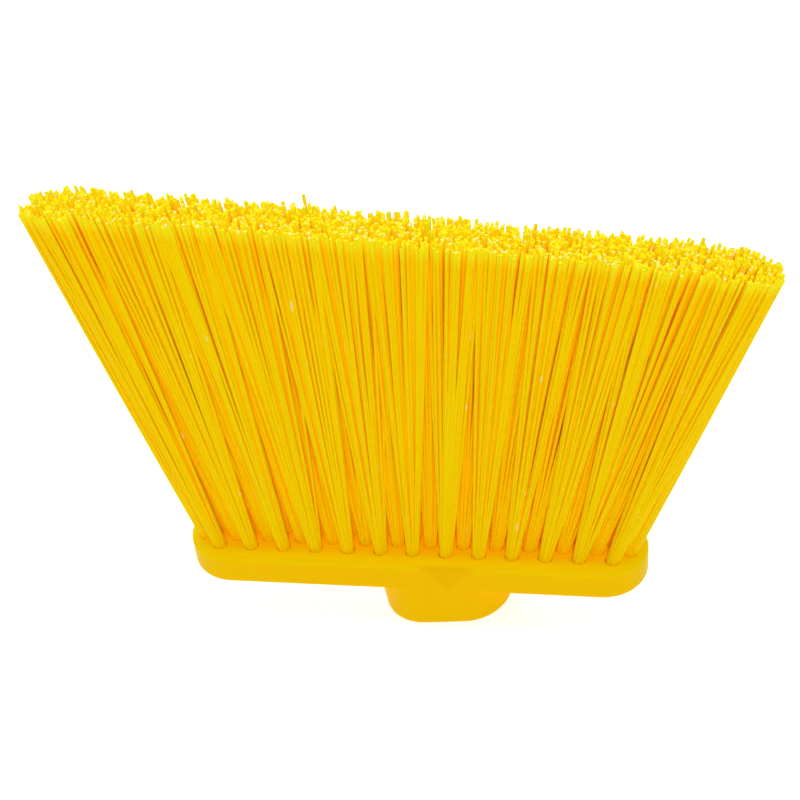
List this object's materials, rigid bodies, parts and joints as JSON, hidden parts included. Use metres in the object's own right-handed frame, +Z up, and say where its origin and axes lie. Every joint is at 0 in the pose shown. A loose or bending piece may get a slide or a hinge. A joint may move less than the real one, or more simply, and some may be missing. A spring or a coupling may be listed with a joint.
{
  "type": "angle broom head",
  "caption": "Angle broom head: round-ended plastic block with a tilted threaded handle hub and flared bristle tufts trimmed at a slant.",
  "frame": {"origin": "centre of the handle socket's mouth, on the hub's lower face", "axes": "+Z up towards the bristle tips, square to the block's face; +X along the block towards the side with the short bristles; +Y from front to back"},
  "size_m": [0.292, 0.0394, 0.2093],
  "materials": {
    "block_plastic": "satin injection-moulded yellow polypropylene",
    "bristle": "extruded yellow plastic filament, slightly glossy, cut square at the tips",
    "anchor_wire": "galvanised flat wire"
  },
  "bodies": {
    "root": {"broom_block": "block_plastic", "tuft_anchors": "anchor_wire", "tuft_front_01": "bristle", "tuft_front_02": "bristle", "tuft_front_03": "bristle", "tuft_front_04": "bristle", "tuft_front_05": "bristle", "tuft_front_06": "bristle", "tuft_front_07": "bristle", "tuft_front_08": "bristle", "tuft_front_09": "bristle", "tuft_front_10": "bristle", "tuft_front_11": "bristle", "tuft_front_12": "bristle", "tuft_front_13": "bristle", "tuft_midfront_01": "bristle", "tuft_midfront_02": "bristle", "tuft_midfront_03": "bristle", "tuft_midfront_04": "bristle", "tuft_midfront_05": "bristle", "tuft_midfront_06": "bristle", "tuft_midfront_07": "bristle", "tuft_midfront_08": "bristle", "tuft_midfront_09": "bristle", "tuft_midfront_10": "bristle", "tuft_midfront_11": "bristle", "tuft_midfront_12": "bristle", "tuft_midfront_13": "bristle", "tuft_midfront_14": "bristle", "tuft_midrear_01": "bristle", "tuft_midrear_02": "bristle", "tuft_midrear_03": "bristle", "tuft_midrear_04": "bristle", "tuft_midrear_05": "bristle", "tuft_midrear_06": "bristle", "tuft_midrear_07": "bristle", "tuft_midrear_08": "bristle", "tuft_midrear_09": "bristle", "tuft_midrear_10": "bristle", "tuft_midrear_11": "bristle", "tuft_midrear_12": "bristle", "tuft_midrear_13": "bristle", "tuft_midrear_14": "bristle", "tuft_rear_01": "bristle", "tuft_rear_02": "bristle", "tuft_rear_03": "bristle", "tuft_rear_04": "bristle", "tuft_rear_05": "bristle", "tuft_rear_06": "bristle", "tuft_rear_07": "bristle", "tuft_rear_08": "bristle", "tuft_rear_09": "bristle", "tuft_rear_10": "bristle", "tuft_rear_11": "bristle", "tuft_rear_12": "bristle", "tuft_rear_13": "bristle", "tufts_middle": "bristle"}
  },
  "joints": []
}
